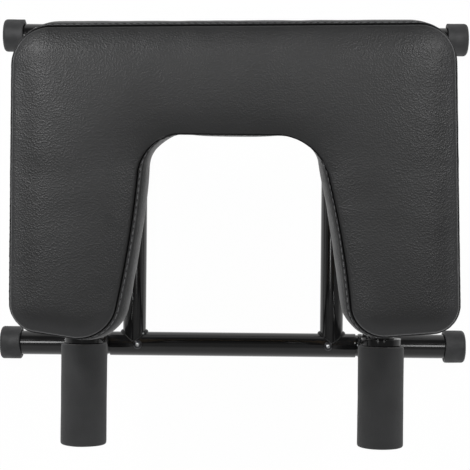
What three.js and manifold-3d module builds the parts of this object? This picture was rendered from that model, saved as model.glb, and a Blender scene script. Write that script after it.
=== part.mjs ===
// A headstand stool: a U-shaped padded seat on two bent side hoops, which stand on two floor rails
// joined by a pair of cross tubes. Two foam-covered handles reach forward from the front legs.
// Millimetres, +Z up, +X to the right of someone facing the open end of the U, which is at -Y.

import * as THREE from 'three';
import { mergeVertices } from 'three/addons/utils/BufferGeometryUtils.js';
import Module from 'manifold-3d';

// Fits shared by every joint
const fitGap = 0.3; // left between pieces that touch or are welded
const cutOverrun = 5; // how far a cutting tool runs past what it cuts
const weldRoom = 1.5; // kept free round a welded foot
const weldSize = 2; // a weld bead stands this far out from both tubes that it joins

// Frame tube
const tubeOd = 28;
const tubeWall = 1.5;
const crossStep = 1; // the cross tubes are this much slimmer than the rails
const sideWeldHeight = 18; // the cross tubes are welded on their two sides only

// Floor rails
const railSpacing = 361.7; // front rail axis to back rail axis
const baseWidth = 545; // over the caps
const railCentreLength = 288.8;
const jointGroove = 2.6; // open groove between the centre length and an outer length
const spigotPlay = 0.35; // radial play of a spigot in its socket
const spigotPastBolt = 9; // spigot left beyond its bolt
const boltFromJoint = 33; // rail bolt axis to the end of the centre length
const crossSpacing = 232.2; // axis to axis of the cross tubes

// End caps
const capWall = 4.7;
const capLength = 23;
const capEndWall = 4;
const capEdgeRadius = 4;
const capMouthRadius = 1.2;
const soleDepth = 1; // flat cut under each cap, on which the stool stands

// Side hoops
const hoopTopSpacing = 308; // axis to axis of the two top bars
const hoopTopLength = 221; // corner to corner of a top bar, front to back
const hoopBendRadius = 60;

// Handles
const handleHeight = 178;
const handleReach = 94; // front rail axis to the end of the grips
const gripWall = 10.1;
const gripEdge = 1.5;
const collarWall = 6.7;
const collarLength = 7.7;
const collarEdge = 1.2;
const plugHead = 3;
const plugRecess = 1; // the plug's face sits this far inside the foam
const plugStem = 18;
const plugWall = 1.8;

// Seat pad, all in plan from the middle of the base
const seatHeight = 370; // floor to the top of the crown
const padThickness = 72; // with the board inside its base
const padCrown = 13; // the top panel's rise from the seam
const padBulgeHeight = 24; // widest line of the side band, above the pad's underside
const padBack = 152.5; // middle of the base to the pad's back edge
const padBackWidth = 421.4;
const padFrontWidth = 426;
const padFrontOuter = 143; // middle of the base to the front of an arm, at its outer corner
const padFrontInner = 155.5; // the same at its inner corner
const throatBack = 42.1; // middle of the base to the back of the neck opening
const throatWidth = 150.8; // neck opening at its back
const mouthWidth = 209; // neck opening at the ends of the arms
const backCornerRadius = 38;
const frontCornerRadius = 27;
const mouthCornerRadius = 41;
const throatRadius = 30; // corners of the neck opening at the widest line
const throatSeamRadius = 46; // the same along the seam
const padDrawIn = 1.5; // how far the back and the sides draw in between their corners
const sideBulge = 7; // the side band stands this far outside the seam
const armBulge = 8; // the same on the inner walls of the arms
const throatBulge = 0.5; // the same at the back of the neck opening
const sideTuck = 5; // the band turns in this far under the widest line
const armTuck = 3;
const throatTuck = 2;

// Seat board
const boardThickness = 12;
const boardInset = 3; // board edge to the outside of the pad's underside

// Fasteners
const boltSize = 6;
const boltPlay = 0.4; // radial clearance of a bolt hole
const headDiameter = 10.5;
const headHeight = 3.3;
const headCrownDiameter = 5.4;
const keySize = 4; // across the flats of the hex recess
const keyDepth = 2;
const railBoltLength = 16;
const seatBoltLength = 38;
const nutAcrossFlats = 10;
const nutHeight = 5;
const washerDiameter = 14;
const washerThickness = 1.2;
const teeFlangeDiameter = 18;
const teeFlangeThickness = 1.4;
const teeBarrelDiameter = 8;
const teeBarrelLength = 8.5;

// Shares of the sizes above
const seatBoltShare = 0.78; // place of a seat bolt along the straight half of a top bar
const crownShare = 0.77; // how much of an arm's half width the crown takes to rise
const crownRingShares = [0.3, 0.62, 1];
const bandUnderShares = [1, 0.85, 0.5];
const bandOverShares = [0.45, 0.8, 1];
const tipShare = 0.2; // smallest corner radius of a ring, of the arm's width there

// Facets
const tubeSides = 20;
const roundSides = 28;
const boltSides = 12;
const bendSteps = 7;
const cornerSteps = 6;
const edgeSteps = 4;
const domeSteps = 3;

// Derived sizes
const tubeRadius = tubeOd / 2;
const boreRadius = tubeRadius - tubeWall;
const crossRadius = tubeRadius - crossStep / 2;
const spigotRadius = boreRadius - spigotPlay;
const capRadius = tubeRadius + fitGap + capWall;
const railHeight = capRadius - soleDepth;
const railHalf = railSpacing / 2;
const jointX = railCentreLength / 2;
const outerStartX = jointX + jointGroove;
const railBoltX = jointX - boltFromJoint;
const footX = outerStartX + tubeRadius + weldRoom;
const seatBase = seatHeight - padThickness;
const topBarHeight = seatBase - fitGap - tubeRadius;
const topBarX = hoopTopSpacing / 2;
const boltRadius = boltSize / 2;
const holeRadius = boltRadius + boltPlay;

// The two sides, and the four corners that repeated pieces are named for
const sides = [['left', -1], ['right', 1]];
const rows = [['front', -1], ['back', 1]];
const corners = rows.flatMap(([row, end]) => {
  return sides.map(([name, side]) => ({ at: `${row}_${name}`, end, side }));
});

const wasm = await Module();
wasm.setup();

// Geometry helpers

// Merges shared corners and drops the triangles that collapse onto an axis.
function closed(geometry) {
  const bare = new THREE.BufferGeometry();
  bare.setAttribute('position', geometry.getAttribute('position').clone());
  if (geometry.index) bare.setIndex(geometry.index.clone());
  const merged = mergeVertices(bare);
  const index = merged.index.array;
  const kept = [];
  for (let i = 0; i < index.length; i += 3) {
    const [a, b, c] = [index[i], index[i + 1], index[i + 2]];
    if (a !== b && b !== c && c !== a) kept.push(a, b, c);
  }
  merged.setIndex(kept);
  merged.computeVertexNormals();
  return merged;
}

function toSolid(geometry) {
  const shape = closed(geometry);
  return new wasm.Manifold(new wasm.Mesh({
    numProp: 3,
    vertProperties: new Float32Array(shape.getAttribute('position').array),
    triVerts: new Uint32Array(shape.index.array),
  }));
}

function fromSolid(solid) {
  const mesh = solid.getMesh();
  const geometry = new THREE.BufferGeometry();
  geometry.setAttribute('position', new THREE.BufferAttribute(new Float32Array(mesh.vertProperties), 3));
  geometry.setIndex(Array.from(mesh.triVerts));
  geometry.computeVertexNormals();
  return geometry;
}

function cut(geometry, ...tools) {
  let solid = toSolid(geometry);
  for (const tool of tools) solid = solid.subtract(toSolid(tool));
  return fromSolid(solid);
}

// A tube with a bead at each joint: what a thicker bar has in common with the grown form that it
// meets. The bore and the clearances are cut last.
function welded(tube, thicker, joints, ...tools) {
  let solid = toSolid(tube);
  for (const joint of joints) solid = solid.add(toSolid(thicker).intersect(toSolid(joint)));
  for (const tool of tools) solid = solid.subtract(toSolid(tool));
  return fromSolid(solid);
}

// Revolves [along, radius] pairs about the Y axis. The outside of a profile runs towards +Y.
function revolve(profile, sides) {
  const points = profile.map(([along, radius]) => new THREE.Vector2(radius, along));
  return closed(new THREE.LatheGeometry(points, sides));
}

// A revolved profile that closes on itself, for rings and open tubes.
function revolveRing(profile, sides) {
  return revolve([...profile, profile[0]], sides);
}

// A quarter round on a revolved profile, from one angle to another about its centre.
function roundEdge(along, radius, size, fromAngle, toAngle) {
  const points = [];
  for (let i = 0; i <= domeSteps; i++) {
    const angle = fromAngle + (toAngle - fromAngle) * i / domeSteps;
    points.push([along + size * Math.sin(angle), radius + size * Math.cos(angle)]);
  }
  return points;
}

function rod(radius, length, sides = tubeSides) {
  return new THREE.CylinderGeometry(radius, radius, length, sides);
}

// A cutting cylinder along Z, centred on a point.
function drill(x, y, z, radius, length) {
  return rod(radius, length, boltSides).rotateX(Math.PI / 2).translate(x, y, z);
}

// The points of a round corner of a path, from where it leaves one leg to where it joins the next.
function roundCorner(before, corner, after, radius, steps) {
  const back = before.clone().sub(corner).normalize();
  const ahead = after.clone().sub(corner).normalize();
  const half = back.angleTo(ahead) / 2;
  const centre = back.clone().add(ahead).normalize().multiplyScalar(radius / Math.sin(half)).add(corner);
  const first = back.multiplyScalar(radius / Math.tan(half)).add(corner).sub(centre);
  const last = ahead.multiplyScalar(radius / Math.tan(half)).add(corner).sub(centre);
  const axis = first.clone().cross(last).normalize();
  const sweep = first.angleTo(last);
  const points = [];
  for (let i = 0; i <= steps; i++) {
    points.push(first.clone().applyAxisAngle(axis, sweep * i / steps).add(centre));
  }
  return points;
}

// Closes a skin over rings of equally many points, with a flat lid on the first and last ring.
function skin(rings) {
  const count = rings[0].length;
  const positions = rings.flat().flatMap((p) => [p.x, p.y, p.z]);
  const faces = [];
  for (let r = 0; r + 1 < rings.length; r++) {
    for (let i = 0; i < count; i++) {
      const a = r * count + i;
      const b = r * count + (i + 1) % count;
      faces.push(a, b, b + count, a, b + count, a + count);
    }
  }
  const end = (rings.length - 1) * count;
  const lid = (ring) => THREE.ShapeUtils.triangulateShape(flatten(ring), []);
  for (const [a, b, c] of lid(rings[0])) faces.push(c, b, a);
  for (const [a, b, c] of lid(rings[rings.length - 1])) faces.push(end + a, end + b, end + c);
  const geometry = new THREE.BufferGeometry();
  geometry.setAttribute('position', new THREE.Float32BufferAttribute(positions, 3));
  geometry.setIndex(faces);
  geometry.computeVertexNormals();
  return geometry;
}

// A flat ring of points seen along its own normal, turning anticlockwise.
function flatten(ring) {
  const normal = new THREE.Vector3();
  ring.forEach((p, i) => normal.add(p.clone().cross(ring[(i + 1) % ring.length])));
  const turn = new THREE.Quaternion().setFromUnitVectors(normal.normalize(), new THREE.Vector3(0, 0, 1));
  return ring.map((p) => {
    const q = p.clone().applyQuaternion(turn);
    return new THREE.Vector2(q.x, q.y);
  });
}

// A round bar along a path that lies in one plane, mitred at each point of the path.
function bentBar(path, radius, sides) {
  const along = path.map((p, i) => {
    const before = path[Math.max(i - 1, 0)];
    const after = path[Math.min(i + 1, path.length - 1)];
    return after.clone().sub(before).normalize();
  });
  const across = path[1].clone().sub(path[0]).cross(path.at(-1).clone().sub(path[0])).normalize();
  const rings = path.map((p, i) => {
    const up = along[i].clone().cross(across);
    const leg = path[Math.min(i + 1, path.length - 1)].clone().sub(path[Math.min(i, path.length - 2)]);
    const mitre = 1 / Math.cos(leg.angleTo(along[i]));
    return Array.from({ length: sides }, (_, k) => {
      const angle = 2 * Math.PI * k / sides;
      return p.clone()
        .addScaledVector(across, radius * Math.cos(angle))
        .addScaledVector(up, radius * Math.sin(angle) * mitre);
    });
  });
  return skin(rings);
}

// Frame pieces

function railCentre() {
  const half = railCentreLength / 2;
  const tube = revolveRing([[-half, tubeRadius], [half, tubeRadius], [half, boreRadius], [-half, boreRadius]],
    tubeSides);
  // The rail lies along local Y, and its bolt holes open upwards along local Z.
  const holes = [-railBoltX, railBoltX].map((y) => drill(0, y, tubeRadius, holeRadius, tubeRadius));
  return cut(tube, ...holes);
}

// An outer rail length with its swaged spigot, along local Y from the middle of the rail outwards.
function railOuter() {
  const spigotStart = railBoltX - spigotPastBolt;
  const spigotBore = spigotRadius - tubeWall;
  const swage = tubeRadius - spigotRadius;
  const end = baseWidth / 2 - capEndWall - fitGap;
  const tube = revolveRing([
    [spigotStart, spigotRadius],
    [outerStartX - swage, spigotRadius],
    [outerStartX, tubeRadius],
    [end, tubeRadius],
    [end, boreRadius],
    [outerStartX, boreRadius],
    [outerStartX - swage, spigotBore],
    [spigotStart, spigotBore],
  ], tubeSides);
  return cut(tube, drill(0, railBoltX, tubeRadius, holeRadius, tubeRadius));
}

function footCap() {
  const start = baseWidth / 2 - capLength;
  const end = baseWidth / 2;
  const mouth = tubeRadius + fitGap;
  const shell = revolve([
    [end - capEndWall, 0],
    [end - capEndWall, mouth],
    [start + capMouthRadius, mouth],
    [start, mouth + capMouthRadius],
    [start, capRadius - capMouthRadius],
    [start + capMouthRadius, capRadius],
    ...roundEdge(end - capEdgeRadius, capRadius - capEdgeRadius, capEdgeRadius, 0, Math.PI / 2),
    [end, 0],
  ], roundSides);
  const under = new THREE.BoxGeometry(2 * capRadius, capLength + 2 * cutOverrun, cutOverrun);
  under.translate(0, (start + end) / 2, -railHeight - cutOverrun / 2);
  return cut(shell, under);
}

// A cutting bar the size of a tube and its clearance, along X through a rail, or grown for a bead.
function railCutter(y, grow = 0) {
  const bar = rod(tubeRadius + fitGap + grow, baseWidth, 2 * tubeSides);
  return bar.rotateZ(Math.PI / 2).translate(0, y, railHeight);
}

function crossTube(x) {
  const outer = rod(crossRadius, railSpacing).translate(x, 0, railHeight);
  const bore = rod(crossRadius - tubeWall, railSpacing + cutOverrun).translate(x, 0, railHeight);
  const beads = new THREE.BoxGeometry(2 * (crossRadius + weldSize), railSpacing, sideWeldHeight);
  beads.translate(x, 0, railHeight);
  const joints = [-railHalf, railHalf].map((y) => railCutter(y, weldSize));
  return welded(outer, beads, joints, bore, railCutter(-railHalf), railCutter(railHalf));
}

// The centre line of a side hoop: up the front leg, along the top bar and down the back leg.
function hoopPath(side) {
  const topHalf = hoopTopLength / 2;
  const frontFoot = new THREE.Vector3(side * footX, -railHalf, railHeight);
  const frontTop = new THREE.Vector3(side * topBarX, -topHalf, topBarHeight);
  const backTop = new THREE.Vector3(side * topBarX, topHalf, topBarHeight);
  const backFoot = new THREE.Vector3(side * footX, railHalf, railHeight);
  return [
    frontFoot,
    ...roundCorner(frontFoot, frontTop, backTop, hoopBendRadius, bendSteps),
    ...roundCorner(frontTop, backTop, backFoot, hoopBendRadius, bendSteps),
    backFoot,
  ];
}

// How far the seat bolts sit in front of and behind the middle of the top bars.
function seatBoltReach() {
  const bend = hoopPath(1)[bendSteps + 1]; // where the front bend runs out into the top bar
  return Math.abs(bend.y) * seatBoltShare;
}

function sideHoop(side) {
  const path = hoopPath(side);
  const beyond = (end, inner) => end.clone().lerp(inner, -cutOverrun / end.distanceTo(inner));
  const longer = [beyond(path[0], path[1]), ...path.slice(1, -1), beyond(path.at(-1), path.at(-2))];
  const reach = seatBoltReach();
  const holes = [-reach, reach].map((y) => drill(side * topBarX, y, topBarHeight, holeRadius, 2 * tubeOd));
  const joints = [-railHalf, railHalf].map((y) => railCutter(y, weldSize));
  return welded(bentBar(path, tubeRadius, tubeSides), bentBar(path, tubeRadius + weldSize, tubeSides), joints,
    bentBar(longer, boreRadius, tubeSides / 2), railCutter(-railHalf), railCutter(railHalf), ...holes);
}

// Where the handle leaves the leaning front leg, and how far the leg reaches in front of that point
// within the collar's height.
function handleRoot(side) {
  const [foot, bend] = hoopPath(side);
  const share = (handleHeight - foot.z) / (bend.z - foot.z);
  const point = foot.clone().lerp(bend, share);
  const leg = bend.clone().sub(foot).normalize();
  const collarRadius = tubeRadius + fitGap + collarWall;
  const reach = tubeRadius / Math.sqrt(1 - leg.y ** 2) + collarRadius * leg.y / leg.z;
  return { point, leg, reach };
}

function handleTube(side) {
  const { point, leg } = handleRoot(side);
  const end = -railHalf - handleReach + plugRecess + plugHead + fitGap;
  const length = point.y - end;
  const middle = (point.y + end) / 2;
  const bar = (radius, overrun) => rod(radius, length + overrun).translate(point.x, middle, point.z);
  const lean = new THREE.Quaternion().setFromUnitVectors(new THREE.Vector3(0, 1, 0), leg);
  const legCutter = (grow) => {
    const cutter = rod(tubeRadius + fitGap + grow, 2 * length, 2 * tubeSides);
    return cutter.applyQuaternion(lean).translate(point.x, point.y, point.z);
  };
  return welded(bar(tubeRadius, 0), bar(tubeRadius + weldSize, 0), [legCutter(weldSize)],
    bar(boreRadius, 2 * cutOverrun), legCutter(0));
}

// Handle fittings, revolved about local Y, which runs forward along the handle from the leg's axis

function handleStations() {
  const { point, reach } = handleRoot(1);
  const end = point.y + railHalf + handleReach;
  const collarStart = reach + weldRoom;
  const gripStart = collarStart + collarLength + fitGap;
  return { collarStart, gripStart, end };
}

function handleGrip() {
  const { gripStart, end } = handleStations();
  const inner = tubeRadius + fitGap;
  const outer = tubeRadius + fitGap + gripWall;
  return revolveRing([
    [gripStart, inner],
    ...roundEdge(gripStart + gripEdge, outer - gripEdge, gripEdge, -Math.PI / 2, 0),
    ...roundEdge(end - gripEdge, outer - gripEdge, gripEdge, 0, Math.PI / 2),
    [end, inner],
  ], roundSides);
}

function handleCollar() {
  const { collarStart } = handleStations();
  const end = collarStart + collarLength;
  const inner = tubeRadius + fitGap;
  const outer = inner + collarWall;
  return revolveRing([
    [collarStart, inner],
    [collarStart, outer - collarEdge],
    [collarStart + collarEdge, outer],
    [end - collarEdge, outer],
    [end, outer - collarEdge],
    [end, inner],
  ], roundSides);
}

function handlePlug() {
  const face = handleStations().end - plugRecess;
  const under = face - plugHead;
  const stem = boreRadius - fitGap;
  return revolve([
    [under, 0],
    [under, stem - plugWall],
    [under - plugStem, stem - plugWall],
    [under - plugStem, stem],
    [under, stem],
    [under, tubeRadius - collarEdge],
    [face - collarEdge, tubeRadius],
    [face, tubeRadius - collarEdge],
    [face, 0],
  ], tubeSides);
}

// Seat pad and board

// The plan of the pad at one height, drawn inside its widest line by an inset for each kind of edge.
function padOutline(z, sideInset, armInset, throatInset, innerRadius) {
  const armWidth = (padFrontWidth - mouthWidth) / 2 - sideInset - armInset;
  const limited = (radius) => Math.max(radius - sideInset, tipShare * armWidth);
  const corner = (x, y, radius) => ({ at: new THREE.Vector3(x, y, z), radius });
  const right = [
    corner(padBackWidth / 2 - sideInset, padBack - sideInset, limited(backCornerRadius)),
    corner(padFrontWidth / 2 - sideInset, -padFrontOuter + sideInset, limited(frontCornerRadius)),
    corner(mouthWidth / 2 + armInset, -padFrontInner + sideInset, limited(mouthCornerRadius)),
    corner(throatWidth / 2 + armInset, throatBack + throatInset, innerRadius),
  ];
  const left = right.map(({ at, radius }) => corner(-at.x, at.y, radius)).reverse();
  // Anticlockwise from the back left corner.
  const turns = [...left.reverse(), ...right.reverse()];
  const count = turns.length;
  const outline = [];
  turns.forEach(({ at, radius }, i) => {
    const before = turns[(i + count - 1) % count].at;
    const next = turns[(i + 1) % count];
    const after = turns[(i + 2) % count].at;
    const arc = roundCorner(before, at, next.at, radius, cornerSteps);
    const nextArc = roundCorner(at, next.at, after, next.radius, cornerSteps);
    const start = arc.at(-1);
    const run = nextArc[0].clone().sub(start);
    const inward = new THREE.Vector3(-run.y, run.x, 0).normalize();
    const outerEdge = i === 0 || i === count - 2 || i === count - 1;
    outline.push(...arc);
    for (let k = 1; k < edgeSteps; k++) {
      const share = k / edgeSteps;
      const draw = outerEdge ? 4 * share * (1 - share) * padDrawIn : 0;
      outline.push(start.clone().addScaledVector(run, share).addScaledVector(inward, draw));
    }
  });
  return outline;
}

// The insets of the side band: a quarter round under the widest line and another up to the seam.
function bandInset(share) {
  return 1 - Math.sqrt(1 - share ** 2);
}

function underRing(share) {
  const z = seatBase + padBulgeHeight * (1 - share);
  const turn = bandInset(share);
  return padOutline(z, sideTuck * turn, armTuck * turn, throatTuck * turn, throatRadius);
}

function padRings() {
  const bulgeZ = seatBase + padBulgeHeight;
  const seamZ = seatHeight - padCrown;
  const under = bandUnderShares.map(underRing);
  const widest = padOutline(bulgeZ, 0, 0, 0, throatRadius);
  const over = bandOverShares.map((share) => {
    const turn = bandInset(share);
    const radius = throatRadius + (throatSeamRadius - throatRadius) * turn;
    return padOutline(bulgeZ + (seamZ - bulgeZ) * share, sideBulge * turn, armBulge * turn,
      throatBulge * turn, radius);
  });
  const seamArm = (padFrontWidth - mouthWidth) / 2 - sideBulge - armBulge;
  const crownRun = crownShare * seamArm / 2;
  const crown = crownRingShares.map((share) => {
    const inset = crownRun * share;
    return padOutline(seamZ + padCrown * Math.sin(share * Math.PI / 2), sideBulge + inset,
      armBulge + inset, throatBulge + inset, throatSeamRadius + inset);
  });
  return [...under, widest, ...over, ...crown];
}

// The board's outline as a flat shape, grown by a clearance.
function boardOutline(z, grow) {
  const inset = boardInset - grow;
  return padOutline(z, sideTuck + inset, armTuck + inset, throatTuck + inset, throatRadius + inset);
}

function seatCushion() {
  const top = seatBase + boardThickness + fitGap;
  const pocket = skin([boardOutline(seatBase - cutOverrun, fitGap), boardOutline(top, fitGap)]);
  return cut(skin(padRings()), pocket);
}

function seatBoard() {
  const top = seatBase + boardThickness;
  const board = skin([boardOutline(seatBase, 0), boardOutline(top, 0)]);
  const tools = corners.flatMap(({ side, end }) => {
    const [x, y] = [side * topBarX, end * seatBoltReach()];
    return [
      drill(x, y, seatBase, teeBarrelDiameter / 2 + fitGap, 4 * boardThickness),
      drill(x, y, top, teeFlangeDiameter / 2 + fitGap, 2 * (teeFlangeThickness + fitGap)),
    ];
  });
  return cut(board, ...tools);
}

// Fasteners, each drawn about the Z axis

function hexShape(acrossFlats) {
  const corner = acrossFlats / Math.sqrt(3);
  const points = Array.from({ length: 6 }, (_, k) => {
    const angle = Math.PI / 3 * k;
    return new THREE.Vector2(corner * Math.cos(angle), corner * Math.sin(angle));
  });
  return new THREE.Shape(points);
}

function extrude(shape, depth) {
  return new THREE.ExtrudeGeometry(shape, { depth, bevelEnabled: false, curveSegments: boltSides / 2 });
}

// A button-head bolt with its head up: the underside of the head is at zero.
function buttonBolt(length) {
  const head = headDiameter / 2;
  const bolt = revolve([
    [-length, 0],
    [-length, boltRadius],
    [0, boltRadius],
    [0, head],
    [headHeight / 2, (head + head + headCrownDiameter / 2) / 3],
    [headHeight, headCrownDiameter / 2],
    [headHeight, 0],
  ], boltSides).rotateX(Math.PI / 2);
  const recess = extrude(hexShape(keySize), 2 * keyDepth).translate(0, 0, headHeight - keyDepth);
  return cut(bolt, recess);
}

function ring(outer, inner, height) {
  const shape = new THREE.Shape().absarc(0, 0, outer, 0, 2 * Math.PI);
  shape.holes.push(new THREE.Path().absarc(0, 0, inner, 0, 2 * Math.PI, true));
  return closed(extrude(shape, height));
}

function hexNut() {
  const shape = hexShape(nutAcrossFlats);
  shape.holes.push(new THREE.Path().absarc(0, 0, holeRadius, 0, 2 * Math.PI, true));
  return closed(extrude(shape, nutHeight));
}

// A tee nut with its flange up: the top of the flange is at zero.
function teeNut() {
  const barrel = teeBarrelDiameter / 2;
  const flange = teeFlangeDiameter / 2;
  return revolveRing([
    [-teeBarrelLength, holeRadius],
    [-teeBarrelLength, barrel],
    [-teeFlangeThickness, barrel],
    [-teeFlangeThickness, flange],
    [0, flange],
    [0, holeRadius],
  ], boltSides).rotateX(Math.PI / 2);
}

// The nuts hang under the roof of each spigot's bore, touching it with their upper corners.
function weldNutHeight() {
  const roof = Math.sqrt((spigotRadius - tubeWall) ** 2 - (nutAcrossFlats / Math.sqrt(3)) ** 2);
  return railHeight + roof - fitGap - nutHeight;
}

// Materials, one for each piece

const finishes = {
  paint: { color: 0x1b1c1e, roughness: 0.35, metalness: 0.4 },
  steel: { color: 0x8d9094, roughness: 0.35, metalness: 1 },
  cap: { color: 0x2c2d2f, roughness: 0.7, metalness: 0 },
  foam: { color: 0x2b2c2e, roughness: 0.95, metalness: 0 },
  collar: { color: 0x141517, roughness: 0.4, metalness: 0 },
  vinyl: { color: 0x333438, roughness: 0.5, metalness: 0 },
  plywood: { color: 0xb08d5e, roughness: 0.8, metalness: 0 },
};

function piece(name, geometry, finish) {
  const mesh = new THREE.Mesh(geometry, new THREE.MeshStandardMaterial(finishes[finish]));
  mesh.name = name;
  return mesh;
}

// Assembly

// One fastener at each of the four corners, at the same height.
function atCorners(name, geometry, finish, x, y, z) {
  return corners.map(({ at, side, end }) => {
    const mesh = piece(`${name}_${at}`, geometry.clone(), finish);
    mesh.position.set(side * x, end * y, z);
    return mesh;
  });
}

function baseFrame() {
  const base = new THREE.Group();
  for (const [row, end] of rows) {
    const rail = piece(`${row}_rail_centre`, railCentre(), 'paint');
    rail.rotation.z = -Math.PI / 2;
    rail.position.set(0, end * railHalf, railHeight);
    base.add(rail);
    for (const [name, side] of sides) {
      const arm = new THREE.Group();
      arm.rotation.z = -side * Math.PI / 2;
      arm.position.set(0, end * railHalf, railHeight);
      arm.add(piece(`${row}_rail_${name}`, railOuter(), 'paint'));
      arm.add(piece(`foot_cap_${row}_${name}`, footCap(), 'cap'));
      base.add(arm);
    }
  }
  for (const [name, side] of sides) {
    base.add(piece(`cross_tube_${name}`, crossTube(side * crossSpacing / 2), 'paint'));
  }
  const boltSeat = railHeight + tubeRadius + fitGap;
  base.add(...atCorners('rail_bolt', buttonBolt(railBoltLength), 'steel', railBoltX, railHalf, boltSeat));
  base.add(...atCorners('weld_nut', hexNut(), 'steel', railBoltX, railHalf, weldNutHeight()));
  return base;
}

function sideFrames() {
  const frames = new THREE.Group();
  for (const [name, side] of sides) {
    frames.add(piece(`side_hoop_${name}`, sideHoop(side), 'paint'));
    frames.add(piece(`handle_tube_${name}`, handleTube(side), 'paint'));
    const handle = new THREE.Group();
    handle.rotation.z = Math.PI;
    handle.position.copy(handleRoot(side).point);
    handle.add(piece(`handle_collar_${name}`, handleCollar(), 'collar'));
    handle.add(piece(`handle_grip_${name}`, handleGrip(), 'foam'));
    handle.add(piece(`handle_plug_${name}`, handlePlug(), 'collar'));
    frames.add(handle);
  }
  return frames;
}

function seat() {
  const parts = new THREE.Group();
  parts.add(piece('seat_cushion', seatCushion(), 'vinyl'));
  parts.add(piece('seat_board', seatBoard(), 'plywood'));
  const reach = seatBoltReach();
  const washerSeat = topBarHeight - tubeRadius - fitGap - washerThickness;
  const bolt = buttonBolt(seatBoltLength).rotateX(Math.PI);
  const washer = ring(washerDiameter / 2, holeRadius, washerThickness);
  parts.add(...atCorners('seat_bolt', bolt, 'steel', topBarX, reach, washerSeat - fitGap));
  parts.add(...atCorners('seat_washer', washer, 'steel', topBarX, reach, washerSeat));
  parts.add(...atCorners('tee_nut', teeNut(), 'steel', topBarX, reach, seatBase + boardThickness));
  return parts;
}

const stool = new THREE.Group();
stool.add(baseFrame(), sideFrames(), seat());
// The handles reach further forward than the caps reach back: the origin is the middle of both.
stool.position.y = (handleReach - capRadius) / 2;

export default stool;
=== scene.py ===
"""Looks for the headstand stool: stitched vinyl pad, painted tube frame, foam grips and moulded caps.

Sizes are in millimetres and are turned into metres where a mesh is made, except those of the
camera, the floor and the lamps, which are in metres. X runs to the right, the open end of the pad
is at -Y, and Z is up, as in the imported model.
"""

import math

import bpy
import numpy as np
from mathutils import Matrix, Quaternion, Vector, bvhtree, geometry, noise


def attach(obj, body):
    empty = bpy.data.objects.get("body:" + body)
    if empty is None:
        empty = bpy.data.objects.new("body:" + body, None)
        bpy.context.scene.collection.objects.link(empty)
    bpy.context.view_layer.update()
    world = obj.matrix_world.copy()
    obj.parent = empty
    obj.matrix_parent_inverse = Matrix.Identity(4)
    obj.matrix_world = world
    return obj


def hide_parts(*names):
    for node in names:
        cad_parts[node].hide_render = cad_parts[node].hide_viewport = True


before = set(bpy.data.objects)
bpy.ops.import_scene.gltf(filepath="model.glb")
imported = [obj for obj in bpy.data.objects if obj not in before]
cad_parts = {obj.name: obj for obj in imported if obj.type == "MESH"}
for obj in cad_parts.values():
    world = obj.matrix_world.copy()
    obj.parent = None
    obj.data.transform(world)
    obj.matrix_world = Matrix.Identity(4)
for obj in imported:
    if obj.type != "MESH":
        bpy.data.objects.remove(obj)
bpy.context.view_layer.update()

MM = 0.001
SCENE = bpy.context.scene
# Without a seed noise_vector gives other values in every run
noise.seed_set(1)

# Camera

camera_data = bpy.data.cameras.new("camera")
camera_data.sensor_width = 36.0
camera_data.lens = 103.4
camera_data.clip_end = 50.0
camera = bpy.data.objects.new("camera", camera_data)
camera.location = (0.0013, -0.01425, 1.611)
camera.rotation_euler = (0.0, 0.0, math.radians(0.58))
SCENE.collection.objects.link(camera)
SCENE.camera = camera

# Sizes of the frame, as packed. Tubes are given by their radius

TUBE = 14.0
WALL = 1.5
BORE = TUBE - WALL
CROSS = 13.5
CROSS_START = 4.0
RAIL_Z = 18.0
RAIL_Y = {"front": -143.35, "back": 218.35}
JOINT_X = 144.4
OUTER_X = 147.0
SPIGOT = 12.15
SPIGOT_START = 101.0
RAIL_END = 268.2
CAP_START = 249.5
CAP_END = 272.5
CAP_RADIUS = 19.0
CROSS_X = 116.1
FOOT_X = 162.5
TOP_X = 154.0
TOP_Z = 283.7
TOP_FRONT = -73.0
TOP_BACK = 148.0
BEND = 60.0
HANDLE_Z = 178.0
HANDLE_START = 2.0
HANDLE_END = 233.05
RAIL_BOLT_X = 111.4
RAIL_BOLT_Z = 32.3
RAIL_BOLT_LENGTH = 16.0
SEAT_BOLT_Y = {"front": -12.66, "back": 87.66}
SEAT_BOLT_Z = 267.9
SEAT_BOLT_LENGTH = 38.0
WASHER_Z = 268.2
SIDES = (("left", -1), ("right", 1))
# The radius at the closed tip of a lathe profile
TIP = 0.01


# Mesh helpers

def make_object(name, shape, material, angle=40.0):
    """A mesh object on the stool's one body, from a shape's points in millimetres and its faces."""
    points, faces = shape
    mesh = bpy.data.meshes.new(name)
    mesh.from_pydata([tuple(c * MM for c in p) for p in points], [], faces)
    mesh.validate()
    mesh.update()
    obj = bpy.data.objects.new(name, mesh)
    SCENE.collection.objects.link(obj)
    mesh.materials.append(material)
    mesh.shade_smooth()
    mesh.set_sharp_from_angle(angle=math.radians(angle))
    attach(obj, "root")
    return obj


def grid_faces(rings, count, closed=False):
    """Quads between rings of equally many points. Closed joins the last ring to the first."""
    faces = []
    for r in range(rings if closed else rings - 1):
        for i in range(count):
            a, b = r * count + i, r * count + (i + 1) % count
            c, d = (r + 1) % rings * count + (i + 1) % count, (r + 1) % rings * count + i
            faces.append((a, b, c, d))
    return faces


def bar_faces(rings, sides, closed):
    """Quads between rings, with both ends filled unless the last ring joins the first."""
    faces = grid_faces(rings, sides, closed)
    if not closed:
        faces.append(tuple(reversed(range(sides))))
        faces.append(tuple(range((rings - 1) * sides, rings * sides)))
    return faces


def side_axes(direction):
    """Two directions across a given one."""
    other = Vector((0, 0, 1)) if abs(direction.z) < 0.9 else Vector((0, 1, 0))
    across = direction.cross(other).normalized()
    return across, across.cross(direction).normalized()


def circle(centre, u, v, radius, count):
    angles = [2 * math.pi * k / count for k in range(count)]
    return [centre + u * (radius * math.cos(a)) + v * (radius * math.sin(a)) for a in angles]


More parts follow.
